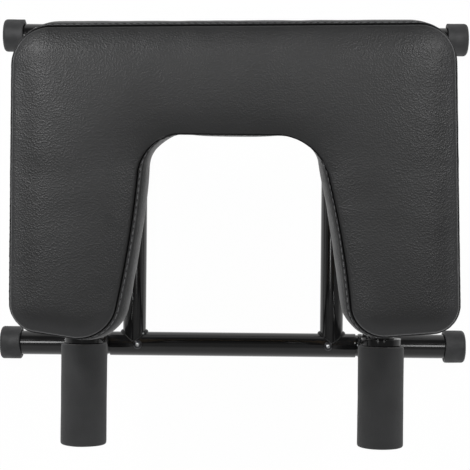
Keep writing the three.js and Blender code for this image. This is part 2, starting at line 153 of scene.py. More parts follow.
def lathe(profile, origin, direction, sides, closed=False):
    """Points and faces of [along, radius] pairs turned about a line, with the ends capped."""
    origin, direction = Vector(origin), Vector(direction).normalized()
    u, v = side_axes(direction)
    points = []
    for along, radius in profile:
        points.extend(circle(origin + direction * along, u, v, radius, sides))
    return points, bar_faces(len(profile), sides, closed)


def arc(along, radius, size, start, end, steps=6):
    """A rounded edge of a lathe profile, from one angle to another in degrees."""
    angles = [math.radians(start + (end - start) * i / steps) for i in range(steps + 1)]
    return [(along + size * math.sin(a), radius + size * math.cos(a)) for a in angles]


def round_corner(before, corner, after, radius, steps):
    """The points of a round corner between two legs of a path."""
    back, ahead = (before - corner).normalized(), (after - corner).normalized()
    half = back.angle(ahead) / 2
    centre = corner + (back + ahead).normalized() * (radius / math.sin(half))
    first = corner + back * (radius / math.tan(half)) - centre
    last = corner + ahead * (radius / math.tan(half)) - centre
    axis, sweep = first.cross(last).normalized(), first.angle(last)
    return [centre + Quaternion(axis, sweep * i / steps) @ first for i in range(steps + 1)]


def sweep(path, radius, sides, closed=False):
    """Points and faces of a round bar along a path. Radius is a number or a function of the index."""
    count = len(path)
    size = radius if callable(radius) else (lambda i: radius)
    ahead = [path[(i + 1) % count if closed else min(i + 1, count - 1)] for i in range(count)]
    behind = [path[i - 1 if closed else max(i - 1, 0)] for i in range(count)]
    tangents = [(b - a).normalized() for a, b in zip(behind, ahead)]
    u = side_axes(tangents[0])[0]
    points = []
    for i, p in enumerate(path):
        u = (u - tangents[i] * u.dot(tangents[i])).normalized()
        v = tangents[i].cross(u)
        points.extend(circle(p, u, v, size(i), sides))
    return points, bar_faces(count, sides, closed)


def merge_parts(parts):
    """One list of points and faces from several."""
    points, faces = [], []
    for more_points, more_faces in parts:
        start = len(points)
        points.extend(more_points)
        faces.extend(tuple(i + start for i in face) for face in more_faces)
    return points, faces


def smooth_step(t):
    t = min(max(t, 0.0), 1.0)
    return t * t * (3 - 2 * t)


# Material helpers

class Nodes:
    """The node tree of a material or of the world, with the few nodes that are needed here."""

    def __init__(self, owner):
        owner.use_nodes = True
        self.nodes = owner.node_tree.nodes
        self.links = owner.node_tree.links

    def feed(self, target, value):
        """Links an output to an input, or sets the input to a number or a colour."""
        if isinstance(value, (int, float)):
            target.default_value = value
        elif isinstance(value, tuple):
            target.default_value = (*value, 1.0)
        else:
            self.links.new(value, target)

    def node(self, kind, inputs=None, **settings):
        node = self.nodes.new(kind)
        for key, value in settings.items():
            setattr(node, key, value)
        for key, value in (inputs or {}).items():
            self.feed(node.inputs[key], value)
        return node

    def spread(self, value, low, high, out_low=0.0, out_high=1.0, **settings):
        inputs = {"From Min": low, "From Max": high, "To Min": out_low, "To Max": out_high, "Value": value}
        return self.node("ShaderNodeMapRange", inputs, **settings).outputs["Result"]

    def math(self, operation, a, b):
        return self.node("ShaderNodeMath", {0: a, 1: b}, operation=operation).outputs["Value"]


class Surface(Nodes):
    """A material on the standard shader."""

    def __init__(self, name, colour, roughness, metallic=0.0, **values):
        self.material = bpy.data.materials.new(name)
        super().__init__(self.material)
        self.shader = self.nodes["Principled BSDF"]
        self.colour(colour)
        self.rough(roughness)
        self.feed(self.shader.inputs["Metallic"], metallic)
        for key, value in values.items():
            self.feed(self.shader.inputs[key.replace("_", " ")], value)
        self.place = self.node("ShaderNodeTexCoord").outputs["Object"]
        self.height = None

    def stretched(self, factors):
        node = self.node("ShaderNodeMapping", {"Vector": self.place})
        node.inputs["Scale"].default_value = factors
        return node.outputs["Vector"]

    def noise(self, scale, detail=3.0, roughness=0.5, place=None):
        inputs = {"Scale": scale, "Detail": detail, "Roughness": roughness, "Vector": place or self.place}
        return self.node("ShaderNodeTexNoise", inputs).outputs["Fac"]

    def cells(self, scale, smooth):
        inputs = {"Scale": scale, "Smoothness": smooth, "Vector": self.place}
        return self.node("ShaderNodeTexVoronoi", inputs, feature="SMOOTH_F1").outputs["Distance"]

    def blend_colours(self, factor, first, second):
        inputs = {"Factor": factor, 6: first, 7: second}
        return self.node("ShaderNodeMix", inputs, data_type="RGBA").outputs[2]

    def colour(self, value):
        self.feed(self.shader.inputs["Base Color"], value)

    def rough(self, value):
        self.feed(self.shader.inputs["Roughness"], value)

    def mottle(self, scale, detail, low, first, second, roughness=0.5):
        """Two colours in soft patches."""
        patches = self.spread(self.noise(scale, detail, roughness), low, 0.7)
        self.colour(self.blend_colours(patches, first, second))

    def wear(self, scale, detail, least, most, roughness=0.5):
        """Patches that are more and less polished."""
        self.rough(self.spread(self.noise(scale, detail, roughness), 0.3, 0.7, least, most))

    def bump(self, output, distance, strength=1.0):
        inputs = {"Strength": strength, "Distance": distance * MM, "Height": output}
        if self.height is not None:
            inputs["Normal"] = self.height
        self.height = self.node("ShaderNodeBump", inputs).outputs["Normal"]
        self.feed(self.shader.inputs["Normal"], self.height)


def vinyl_surface():
    dark, light = (0.0044, 0.0045, 0.0048), (0.0074, 0.0076, 0.008)
    s = Surface("seat_vinyl", dark, 0.5, Specular_IOR_Level=0.42)
    pebble = s.cells(600.0, 0.3)
    face = s.blend_colours(s.math("ADD", s.spread(s.noise(9.0, 4.0), 0.35, 0.65, 0.0, 0.7),
                                  s.spread(pebble, 0.1, 0.6, 0.3, 0.0)), dark, light)
    # Painted shade: the seam's groove and the stitch line are darkened to near black through this mask,
    # which also roughens them
    crease_shade = s.node("ShaderNodeAttribute", attribute_name="crease_shade").outputs["Fac"]
    # Painted highlight: the panel's edge just inside the seam is lightened at the outer sides and in front
    rim_highlight = s.node("ShaderNodeAttribute", attribute_name="rim_highlight").outputs["Fac"]
    face = s.blend_colours(rim_highlight, face, (0.085, 0.086, 0.09))
    s.colour(s.blend_colours(crease_shade, face, (0.003, 0.003, 0.003)))
    worn = s.math("ADD", s.spread(s.noise(60.0), 0.3, 0.7, 0.36, 0.44), s.spread(pebble, 0.1, 0.6, 0.0, 0.1))
    s.rough(s.math("ADD", worn, s.math("MULTIPLY", crease_shade, 0.6)))
    s.bump(s.noise(38.0), 0.15, 0.2)
    s.bump(s.spread(pebble, 0.0, 0.7, 1.0, 0.0), 0.2, 1.0)
    s.bump(s.noise(2600.0, 2.0), 0.05, 0.5)
    return s.material


def paint_surface():
    s = Surface("frame_paint", (0.006, 0.006, 0.0062), 0.2, Specular_IOR_Level=0.5)
    s.mottle(35.0, 5.0, 0.35, (0.004, 0.004, 0.0042), (0.007, 0.007, 0.0073))
    s.wear(55.0, 5.0, 0.07, 0.12, 0.6)
    s.bump(s.noise(900.0, 2.0), 0.02, 0.35)
    s.bump(s.noise(5200.0, 2.0), 0.008, 0.35)
    return s.material


def weld_surface():
    s = Surface("weld_paint", (0.005, 0.005, 0.0052), 0.3, Specular_IOR_Level=0.3)
    s.mottle(400.0, 3.0, 0.4, (0.0035, 0.0035, 0.0037), (0.007, 0.007, 0.0073))
    s.wear(500.0, 3.0, 0.22, 0.4)
    s.bump(s.noise(1300.0), 0.12, 0.6)
    return s.material


def cap_surface():
    s = Surface("end_cap", (0.022, 0.0225, 0.0235), 0.6, Specular_IOR_Level=0.45)
    s.mottle(120.0, 6.0, 0.4, (0.019, 0.0195, 0.0205), (0.031, 0.0315, 0.033), 0.65)
    s.wear(70.0, 4.0, 0.5, 0.68)
    s.bump(s.noise(1500.0, 3.0, 0.6), 0.12, 0.6)
    s.bump(s.noise(180.0), 0.25, 0.25)
    return s.material


# The light level scales the foam's colours, so that one grip can get a darker copy as painted shade
def foam_surface(name, painted_light_level):
    s = Surface(name, (0.018, 0.0185, 0.019), 0.9, Specular_IOR_Level=0.3,
                Sheen_Weight=0.12, Sheen_Roughness=0.6)
    cell = s.cells(1150.0, 0.25)
    s.colour(s.blend_colours(s.math("ADD", s.spread(s.noise(30.0, 4.0), 0.35, 0.65, 0.0, 0.5),
                                    s.spread(cell, 0.05, 0.6, 0.5, 0.0)),
                             tuple(c * painted_light_level for c in (0.018, 0.0184, 0.0192)),
                             tuple(c * painted_light_level for c in (0.03, 0.0306, 0.0318))))
    s.rough(s.spread(cell, 0.1, 0.6, 0.95, 0.8))
    s.bump(s.noise(90.0), 0.4, 0.3)
    s.bump(s.spread(cell, 0.0, 0.6, 1.0, 0.0), 0.14, 0.9)
    return s.material


def collar_surface():
    s = Surface("collar_plastic", (0.003, 0.003, 0.0032), 0.16, Specular_IOR_Level=0.3)
    s.mottle(160.0, 4.0, 0.4, (0.0022, 0.0022, 0.0024), (0.004, 0.004, 0.0042))
    s.wear(220.0, 4.0, 0.12, 0.2)
    s.bump(s.noise(1800.0, 2.0), 0.015, 0.5)
    return s.material


def steel_surface(name, low, high):
    s = Surface(name, high, 0.3, 1.0)
    streaks = s.noise(900.0, 4.0, 0.6, s.stretched((1.0, 1.0, 0.15)))
    s.colour(s.blend_colours(s.spread(streaks, 0.35, 0.65), low, high))
    s.wear(700.0, 3.0, 0.23, 0.4)
    s.bump(streaks, 0.04, 0.5)
    return s.material


def thread_surface():
    s = Surface("stitch_thread", (0.02, 0.02, 0.021), 0.6, Sheen_Weight=0.3)
    waves = {"Scale": 380.0, "Distortion": 0.6, "Vector": s.place}
    twist = s.node("ShaderNodeTexWave", waves, wave_type="BANDS", bands_direction="DIAGONAL").outputs["Fac"]
    s.colour(s.blend_colours(twist, (0.03, 0.03, 0.032), (0.085, 0.085, 0.09)))
    s.rough(s.spread(twist, 0.0, 1.0, 0.5, 0.7))
    s.bump(twist, 0.12, 0.8)
    return s.material


PLY = 1.7


def plywood_surface():
    s = Surface("plywood", (0.5, 0.36, 0.21), 0.7)
    split = s.node("ShaderNodeSeparateXYZ", {"Vector": s.place})
    grain = s.noise(60.0, 6.0, 0.6, s.stretched((0.12, 1.0, 1.0)))
    fibre = s.noise(420.0, 3.0, 0.6, s.stretched((0.05, 1.0, 1.0)))
    face = s.blend_colours(s.spread(s.math("ADD", grain, s.math("MULTIPLY", fibre, 0.4)), 0.5, 0.9),
                           (0.42, 0.28, 0.15), (0.62, 0.47, 0.29))
    ply = s.math("PINGPONG", s.math("MULTIPLY", split.outputs["Z"], 1 / MM), PLY)
    layers = s.blend_colours(s.spread(ply, 0.7, 1.0), (0.24, 0.15, 0.08), (0.55, 0.4, 0.24))
    facing = s.node("ShaderNodeNewGeometry").outputs["Normal"]
    normal = s.node("ShaderNodeSeparateXYZ", {"Vector": facing})
    flat = s.spread(s.math("ABSOLUTE", normal.outputs["Z"], 0.0), 0.6, 0.8)
    s.colour(s.blend_colours(flat, layers, face))
    s.rough(s.spread(grain, 0.3, 0.7, 0.62, 0.8))
    s.bump(fibre, 0.12, 0.5)
    return s.material


VINYL = vinyl_surface()
PAINT = paint_surface()
WELD = weld_surface()
CAP = cap_surface()
# The right grip gets a darker copy of the foam: painted shade, as it lies in less light than the left one
FOAM = {"left": foam_surface("grip_foam_left", 1.0), "right": foam_surface("grip_foam_right_shaded", 0.8)}
COLLAR = collar_surface()
ZINC = steel_surface("zinc_steel", (0.38, 0.39, 0.4), (0.62, 0.63, 0.64))
BLACK_STEEL = steel_surface("black_steel", (0.03, 0.03, 0.032), (0.07, 0.07, 0.074))
THREAD = thread_surface()
PLYWOOD = plywood_surface()


# Floor rails and cross tubes

def tube_profile(start, end, outer, inner, edge=0.5):
    """The wall of an open tube as a closed lathe profile."""
    return [(start, inner), (start, outer - edge), (start + edge, outer),
            (end - edge, outer), (end, outer - edge), (end, inner)]


def outer_rail_profile():
    """An outer rail length: plain tube, then a rolled shoulder down to the spigot."""
    shoulder = [(OUTER_X + 2.2, TUBE)] + arc(OUTER_X + 1.6, TUBE - 1.6, 1.6, 0, -80, 5)
    spigot = [(SPIGOT_START, SPIGOT - WALL), (SPIGOT_START, SPIGOT), (OUTER_X - 0.6, SPIGOT)]
    return [*spigot, *reversed(shoulder), (RAIL_END, TUBE), (RAIL_END, BORE), (OUTER_X, BORE)]


for row, y in RAIL_Y.items():
    shape = lathe(tube_profile(-JOINT_X, JOINT_X, TUBE, BORE), (0, y, RAIL_Z), (1, 0, 0), 72, True)
    rail = make_object(f"rail_{row}_centre", shape, PAINT)
    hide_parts(f"{row}_rail_centre")
    for name, side in SIDES:
        shape = lathe(outer_rail_profile(), (0, y, RAIL_Z), (side, 0, 0), 72, True)
        rail = make_object(f"rail_{row}_{name}", shape, PAINT)
        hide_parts(f"{row}_rail_{name}")

for name, side in SIDES:
    profile = tube_profile(RAIL_Y["front"] + CROSS_START, RAIL_Y["back"] - CROSS_START, CROSS, CROSS - WALL)
    shape = lathe(profile, (side * CROSS_X, 0, RAIL_Z), (0, 1, 0), 72, True)
    cross = make_object(f"cross_{name}", shape, PAINT)
    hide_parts(f"cross_tube_{name}")


# Side hoops and handles

def hoop_path(side, steps):
    front_foot = Vector((side * FOOT_X, RAIL_Y["front"], RAIL_Z))
    front_top = Vector((side * TOP_X, TOP_FRONT, TOP_Z))
    back_top = Vector((side * TOP_X, TOP_BACK, TOP_Z))
    back_foot = Vector((side * FOOT_X, RAIL_Y["back"], RAIL_Z))
    return [front_foot,
            *round_corner(front_foot, front_top, back_top, BEND, steps),
            *round_corner(front_top, back_top, back_foot, BEND, steps),
            back_foot]


def handle_root(side):
    """Where a handle leaves its leaning leg, and the leg's direction."""
    foot, bend = hoop_path(side, 2)[:2]
    share = (HANDLE_Z - foot.z) / (bend.z - foot.z)
    return foot.lerp(bend, share), (bend - foot).normalized()


WELD_STEPS = 150


def saddle(origin, direction, radius, base_point, base_direction):
    """The closed line where a round bar runs into a tube of the frame."""
    direction, base_direction = direction.normalized(), base_direction.normalized()
    u, v = side_axes(direction)
    line = []
    for place in circle(origin, u, v, radius, WELD_STEPS):
        start = place - base_point
        flat_start = start - base_direction * start.dot(base_direction)
        flat_step = direction - base_direction * direction.dot(base_direction)
        qa = flat_step.length_squared
        qb = 2 * flat_start.dot(flat_step)
        qc = flat_start.length_squared - TUBE ** 2
        root = math.sqrt(max(qb * qb - 4 * qa * qc, 0.0))
        line.append(start + base_point + direction * ((-qb + root) / (2 * qa)))
    return line


RIPPLE = 2.7
HOOP_WELD = 2.1
THIN_WELD = 1.5


def weld_bead(name, line, size, seed, side_growth=0.0):
    """A rippled bead along a closed line, fuller at the line's two sides where that is asked for."""
    low, high = min(p.x for p in line), max(p.x for p in line)
    middle, reach = (low + high) / 2, (high - low) / 2
    length = sum((line[i] - line[i - 1]).length for i in range(len(line)))
    ripples = max(round(length / RIPPLE), 1)
    count = len(line)

    def radius(i):
        wave = abs(math.sin(math.pi * ripples * i / count))
        drift = noise.noise(Vector((seed, 7.0 * i / count, 0.3)))
        at_side = abs(line[i].x - middle) / reach
        return size * (0.86 + 0.26 * wave + 0.16 * drift + side_growth * (at_side ** 6 - 0.35))

    make_object(name, sweep(line, radius, 10, True), WELD, angle=70)


ALONG_X = Vector((1, 0, 0))
for name, side in SIDES:
    path = hoop_path(side, 26)
    path[0] = path[0].lerp(path[1], 0.02)
    path[-1] = path[-1].lerp(path[-2], 0.02)
    straight_front = [path[0].lerp(path[1], t) for t in (0.33, 0.66)]
    straight_back = [path[-2].lerp(path[-1], t) for t in (0.33, 0.66)]
    path = [path[0], *straight_front, *path[1:-1], *straight_back, path[-1]]
    hoop = make_object(f"hoop_{name}", sweep(path, TUBE, 64), PAINT)
    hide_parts(f"side_hoop_{name}")

    root, leg = handle_root(side)
    for (row, y), inward in zip(RAIL_Y.items(), (1, -1)):
        rail_point = Vector((0, y, RAIL_Z))
        foot, bend = hoop_path(side, 2)[::inward][:2]
        line = saddle(foot, bend - foot, TUBE, rail_point, ALONG_X)
        weld_bead(f"weld_hoop_{row}_{name}", line, HOOP_WELD, side * 3.1 + y)
        cross_start = Vector((side * CROSS_X, y, RAIL_Z))
        line = saddle(cross_start, Vector((0, inward, 0)), CROSS, rail_point, ALONG_X)
        weld_bead(f"weld_cross_{row}_{name}", line, THIN_WELD, side * 5.7 + y, 1.2)

    line = saddle(root, Vector((0, -1, 0)), TUBE, root, leg)
    weld_bead(f"weld_handle_{name}", line, THIN_WELD, side * 9.3)
    shape = lathe(tube_profile(HANDLE_START, HANDLE_END + root.y, TUBE, BORE), root, (0, -1, 0), 64, True)
    handle = make_object(f"handle_{name}", shape, PAINT)
    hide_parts(f"handle_tube_{name}")


# Grips, collars and plugs

GRIP = (130.53, 237.35)
GRIP_RADIUS = 24.4
COLLAR_PLACE = (122.53, 130.23)
PLUG_FACE = 236.35


def soften(points, amount, scale, seed):
    """Moves points by smooth noise, for moulded foam and rubber."""
    offset = Vector((seed, seed, seed))
    return [p + noise.noise_vector(Vector(p) / scale + offset) * amount for p in points]


for name, side in SIDES:
    root = handle_root(side)[0]
    start, end = (root.y + g for g in GRIP)
    barrel = [(start + (end - start) * t, GRIP_RADIUS - 0.2 * math.sin(math.pi * t))
              for t in np.linspace(0.04, 0.96, 34)]
    profile = [(start, 14.4), (start, GRIP_RADIUS - 3.4),
               *arc(start + 2.2, GRIP_RADIUS - 2.4, 2.3, -80, -10, 6), *barrel,
               *arc(end - 2.4, GRIP_RADIUS - 2.5, 2.4, 10, 85, 6), (end, GRIP_RADIUS - 3.5),
               (end, 15.2), (end - 0.8, 14.4)]
    points, faces = lathe(profile, root, (0, -1, 0), 96, True)
    points = soften(points, 0.22, 26.0, 4.0 + side)
    grip = make_object(f"grip_{name}", (points, faces), FOAM[name], angle=60)
    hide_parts(f"handle_grip_{name}")

    start, end = (root.y + c for c in COLLAR_PLACE)
    profile = [(start + 2.6, 14.3), (start + 2.6, 16.0), (start, 20.2),
               *arc(start + 0.5, 20.5, 0.5, -90, 0, 4), *arc(end - 1.1, 19.9, 1.1, 0, 90, 5), (end, 14.3)]
    shape = lathe(profile, root, (0, -1, 0), 80, True)
    collar = make_object(f"collar_{name}", shape, COLLAR)
    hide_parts(f"handle_collar_{name}")

    face = root.y + PLUG_FACE
    profile = [(face - 21, TIP), (face - 21, 11.5), (face - 3, 12.1), (face - 3, 13.6),
               *arc(face - 1.2, 12.8, 1.2, 0, 80, 5), (face - 0.1, 11.6), (face - 0.45, 10.9),
               (face - 0.5, 6.0), (face - 0.45, TIP)]
    plug = make_object(f"plug_{name}", lathe(profile, root, (0, -1, 0), 64), COLLAR)
    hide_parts(f"handle_plug_{name}")


# Moulded end caps, with a slightly uneven mouth and a flat sole

MOUTH_RUN = 7.0


def cap_profile():
    """The bore, the rounded mouth, the wall and the domed end of a cap."""
    wall_start, wall_length = CAP_START + 1.1, CAP_END - CAP_START - 5.1
    wall = [(wall_start + wall_length * t, CAP_RADIUS) for t in np.linspace(0.1, 0.95, 7)]
    return [(CAP_END - 4.2, TIP), (CAP_END - 4.2, 14.2), (CAP_START + 1.0, 14.3), (CAP_START + 0.1, 15.0),
            (CAP_START - 0.1, 17.2), *arc(wall_start, 17.9, 1.1, -80, 0, 4), *wall,
            *arc(CAP_END - 4.0, 15.0, 4.0, 5, 88, 9), (CAP_END - 0.05, 11.0), (CAP_END, 5.0), (CAP_END, TIP)]


for row, y in RAIL_Y.items():
    for name, side in SIDES:
        points, faces = lathe(cap_profile(), (0, y, RAIL_Z), (side, 0, 0), 80)
        seed = 11.0 + side * 2.0 + y * 0.01
        shaped = []
        for p in points:
            p = Vector(p)
            reach = abs(p.x)
            angle = math.atan2(p.z - RAIL_Z, p.y - y)
            mouth = smooth_step((CAP_START + MOUTH_RUN - reach) / MOUTH_RUN)
            wander = noise.noise(Vector((math.cos(angle) * 1.6, math.sin(angle) * 1.6, seed)))
            p.x -= side * mouth * (0.9 + 1.1 * wander)
            p += noise.noise_vector(p / 9.0 + Vector((seed, 0, 0))) * 0.16
            p.x = side * min(abs(p.x), CAP_END)
            p.z = max(p.z, 0.02)
            shaped.append(p)
        cap = make_object(f"cap_{row}_{name}", (shaped, faces), CAP, angle=55)
        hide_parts(f"foot_cap_{row}_{name}")


# Bolts and washers

BOLT_RADIUS = 3.0
HEAD_RADIUS = 5.25
HEAD_EDGE = 0.35
# Rings down into the head, as [kind, height, radius]
HEX = [("hex", 3.3, 2.15), ("hex", 3.05, 2.0), ("hex", 1.35, 2.0), ("hex", 0.9, 0.3)]
CUP = [("round", 3.3, 3.15), ("round", 3.1, 2.95), ("round", 1.6, 2.85), ("round", 1.5, 0.3)]


def bolt_shape(origin, up, length, recess):
    """A button-head bolt, with a hex recess or a round one. The underside of its head is at the origin."""
    sides = 48
    direction = Vector((0, 0, up))
    rings = [("round", -length, TIP), ("round", -length, BOLT_RADIUS - 0.6),
             ("round", -length + 0.6, BOLT_RADIUS), ("round", 0.0, BOLT_RADIUS),
             ("round", 0.0, 5.05), ("round", HEAD_EDGE, HEAD_RADIUS)]
    for degrees in range(10, 81, 10):
        a = math.radians(degrees)
        drawn_in = 2.35 * (1 - math.cos(a)) / (1 - math.cos(math.radians(80)))
        rings.append(("round", HEAD_EDGE + 2.95 * math.sin(a), HEAD_RADIUS - drawn_in))
    rings += recess
    points = []
    for kind, along, size in rings:
        for k in range(sides):
            a = 2 * math.pi * k / sides
            r = size
            if kind == "hex":
                r = size / math.cos((a % (math.pi / 3)) - math.pi / 6)
            outward = Vector((r * math.cos(a), up * r * math.sin(a), 0))
            points.append(Vector(origin) + direction * along + outward)
    return points, bar_faces(len(rings), sides, False)


for row, y in RAIL_Y.items():
    for name, side in SIDES:
        place = (side * RAIL_BOLT_X, y, RAIL_BOLT_Z)
        shape = bolt_shape(place, 1, RAIL_BOLT_LENGTH, CUP)
        bolt = make_object(f"bolt_rail_{row}_{name}", shape, BLACK_STEEL, angle=32)
        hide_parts(f"rail_bolt_{row}_{name}")
        profile = [(1.3, TIP), (1.3, 2.35), (2.5, 2.4), (2.75, 2.3), (3.05, 1.8), (3.25, 1.1), (3.32, 0.4),
                   (3.33, TIP)]
        pin = lathe(profile, place, (0, 0, 1), 40)
        make_object(f"bolt_pin_{row}_{name}", pin, ZINC, angle=60)

# Drops of spatter on the rail beside the welds, as [place, radius]
SPATTER = (((-105.4, -131.0, 26.8), 1.25), ((-104.2, -132.6, 25.8), 0.9), ((103.6, -131.6, 24.2), 1.1),
           ((146.6, -141.6, 31.9), 1.5), ((143.0, -139.4, 31.4), 0.9))
parts = []
for place, size in SPATTER:
    profile = [(-0.8 * size, TIP), (-0.6 * size, 0.7 * size), (0.0, size), (0.5 * size, 0.75 * size),
               (0.75 * size, TIP)]
    parts.append(lathe(profile, place, (0.1, 0.1, 1), 16))
make_object("weld_spatter", merge_parts(parts), ZINC, angle=80)

for row, y in SEAT_BOLT_Y.items():
    for name, side in SIDES:
        shape = bolt_shape((side * TOP_X, y, SEAT_BOLT_Z), -1, SEAT_BOLT_LENGTH, HEX)
        bolt = make_object(f"bolt_seat_{row}_{name}", shape, ZINC, angle=32)
        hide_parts(f"seat_bolt_{row}_{name}")
        profile = [(0, 3.4), (0, 6.6), (0.4, 7.0), (0.8, 7.0), (1.2, 6.6), (1.2, 3.4)]
        shape = lathe(profile, (side * TOP_X, y, WASHER_Z), (0, 0, 1), 56, True)
        washer = make_object(f"washer_seat_{row}_{name}", shape, ZINC, angle=32)
        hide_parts(f"seat_washer_{row}_{name}")


# Seat pad

PAD_BASE = 298.0
PAD_WIDEST = 322.0
PAD_SEAM = 361.0
PAD_TOP = 369.5
HEM_Z = PAD_BASE + 1.4
HEM_INSET = 5.0


def corner_pair(half_width, y, radius, shift=0.0, slant=0.0, uneven=0.0):
    """The left and the right corner of one kind, as [x, y, radius].

    The real pad isn't quite even: the pair can be shifted sideways, slanted and uneven in radius."""
    left = (shift - half_width, y - slant, radius - uneven)
    return left, (shift + half_width, y + slant, radius + uneven)


def pad_plan(back, front, mouth, throat, bows):
    """Corners in plan from the back left one round by the front, each with the bow of its next edge."""
    left, right = zip(back, front, mouth, throat)
    return tuple((*corner, bow) for corner, bow in zip((*left, *reversed(right)), bows))


# For the left side, left front, left wall, throat, right wall, right front, right side and back.
# A positive bow curves the edge inwards.
PAD_BOWS = (0.0, 0.0, -2.0, 0.0, 2.0, 0.0, 0.0, 0.0)
SEAM_PLAN = pad_plan(back=corner_pair(205.0, 180.0, 35.0, shift=-1.5, slant=3.5, uneven=-1.0),
                     front=corner_pair(208.5, -102.0, 26.0, shift=2.0, slant=0.5),
                     mouth=corner_pair(114.0, -113.0, 33.5, shift=0.5, slant=3.5, uneven=-2.5),
                     throat=corner_pair(82.5, 78.0, 46.0, shift=-1.5, uneven=6.0), bows=PAD_BOWS)
WIDEST_PLAN = pad_plan(back=corner_pair(208.5, 189.0, 48.0, shift=-1.5, slant=3.0),
                       front=corner_pair(211.5, -103.5, 32.5, shift=2.0, slant=0.5, uneven=-3.5),
                       mouth=corner_pair(105.0, -115.0, 34.0, shift=2.0, slant=4.0, uneven=-2.0),
                       throat=corner_pair(75.0, 80.5, 33.5, uneven=-0.5), bows=PAD_BOWS)
# The cover's lower edge, round the seat board.
BASE_PLAN = pad_plan(back=corner_pair(205.0, 184.5, 30.0), front=corner_pair(206.5, -99.0, 20.5),
                     mouth=corner_pair(109.0, -111.5, 34.5), throat=corner_pair(80.0, 83.0, 31.5),
                     bows=(1.0, 0.0, 0.0, 0.0, 0.0, 0.0, 1.0, 1.0))
INNER_CORNERS = (3, 4)
LEAST_RADIUS = 11.0
CROWN_RUN = 34.0
LIP_RUN = 2.4
LIP_RISE = 2.0
FIRM_RISE = 2.4
STITCH = 6.6
STITCH_LINE = 2.8


def inset_plan(plan, inset):
    """The corners with every edge moved inwards by the inset."""
    count = len(plan)
    lines = []
    for i in range(count):
        start, end = Vector(plan[i][:2]), Vector(plan[(i + 1) % count][:2])
        run = (end - start).normalized()
        lines.append((start + Vector((-run.y, run.x)) * inset, run))
    result = []
    for i, (_, _, radius, bow) in enumerate(plan):
        (p, a), (q, b) = lines[i - 1], lines[i]
        crossing = p + a * ((q - p).cross(b) / a.cross(b))
        grown = radius + inset if i in INNER_CORNERS else max(radius - inset, LEAST_RADIUS)
        result.append((crossing.x, crossing.y, grown, bow))
    return result


def blend_plans(first, second, share):
    return [tuple(a + (b - a) * share for a, b in zip(c, d)) for c, d in zip(first, second)]


def turn_arcs(turns, z, steps):
    places = [Vector((x, y, z)) for x, y, _, _ in turns]
    count = len(turns)
    return [round_corner(places[i - 1], places[i], places[(i + 1) % count], turns[i][2], steps[i])
            for i in range(count)]


def pad_steps(spacing):
    """How many steps each corner and each edge gets, for about even spacing."""
    arcs = turn_arcs(SEAM_PLAN, 0.0, [8] * 8)
    corners, edges = [], []
    for i, points in enumerate(arcs):
        length = sum((points[k + 1] - points[k]).length for k in range(8))
        corners.append(max(round(length / spacing), 4))
        edges.append(max(round((arcs[(i + 1) % 8][0] - points[-1]).length / spacing), 2))
    return corners, edges


def pad_outline(z, plan, steps):
    """The pad's plan at one height, as a ring of points."""
    corners, edges = steps
    arcs = turn_arcs(plan, z, corners)
    outline = []
    for i, points in enumerate(arcs):
        outline.extend(points)
        start, end = points[-1], arcs[(i + 1) % 8][0]
        run = end - start
        inward = Vector((-run.y, run.x, 0)).normalized()
        for k in range(1, edges[i]):
            t = k / edges[i]
            outline.append(start + run * t + inward * (4 * t * (1 - t) * plan[i][3]))
    return outline


def crown_height(inset, firm):
    """Height above the seam at a distance inside it: a rolled lip, then a low dome.

    Where the fill is firm the lip is taller and the dome flatter."""
    rise = LIP_RISE + FIRM_RISE * firm
    lip = rise * math.sin(min(inset / LIP_RUN, 1.0) * math.pi / 2)
    t = min(inset / CROWN_RUN, 1.0)
    return lip + (PAD_TOP - PAD_SEAM - rise) * (1 - (1 - t) ** (3.0 - 1.4 * firm))


def firm_side(p):
    """The fill reaches right up to the edge along the pad's left side, and less so on the right."""
    side = smooth_step((-140.0 - p.x) / 45.0) + 0.4 * smooth_step((p.x - 140.0) / 45.0)
    return side * smooth_step((p.y + 115.0) / 50.0) * smooth_step((165.0 - p.y) / 60.0)


def full_side(p):
    """The band bulges more inside the U than round the outer sides."""
    return smooth_step((150.0 - abs(p.x)) / 25.0) * smooth_step((115.0 - p.y) / 20.0)


def pad_rings(under, over, crown, steps):
    """Rings from the pad's underside to its crown, and the index of the seam's ring."""
    rings = []
    for degrees in under:
        turn = 1 - math.cos(math.radians(degrees))
        z = PAD_BASE + (PAD_WIDEST - PAD_BASE) * (1 - math.sin(math.radians(degrees)))
        rings.append(pad_outline(z, blend_plans(WIDEST_PLAN, BASE_PLAN, turn ** 0.25), steps))
    for degrees in over:
        rise = math.sin(math.radians(degrees))
        z = PAD_WIDEST + (PAD_SEAM - PAD_WIDEST) * rise
        shares = (1 - math.cos(math.radians(degrees)), 1 - (1 - rise ** 3) ** (1 / 3))
        plain, full = (pad_outline(z, blend_plans(WIDEST_PLAN, SEAM_PLAN, share), steps) for share in shares)
        rings.append([p.lerp(q, full_side(p)) for p, q in zip(plain, full)])
    seam = len(rings) - 1
    for inset in crown:
        flat = pad_outline(PAD_SEAM, inset_plan(SEAM_PLAN, inset), steps)
        rings.append([p + Vector((0, 0, crown_height(inset, firm_side(p)))) for p in flat])
    return rings, seam


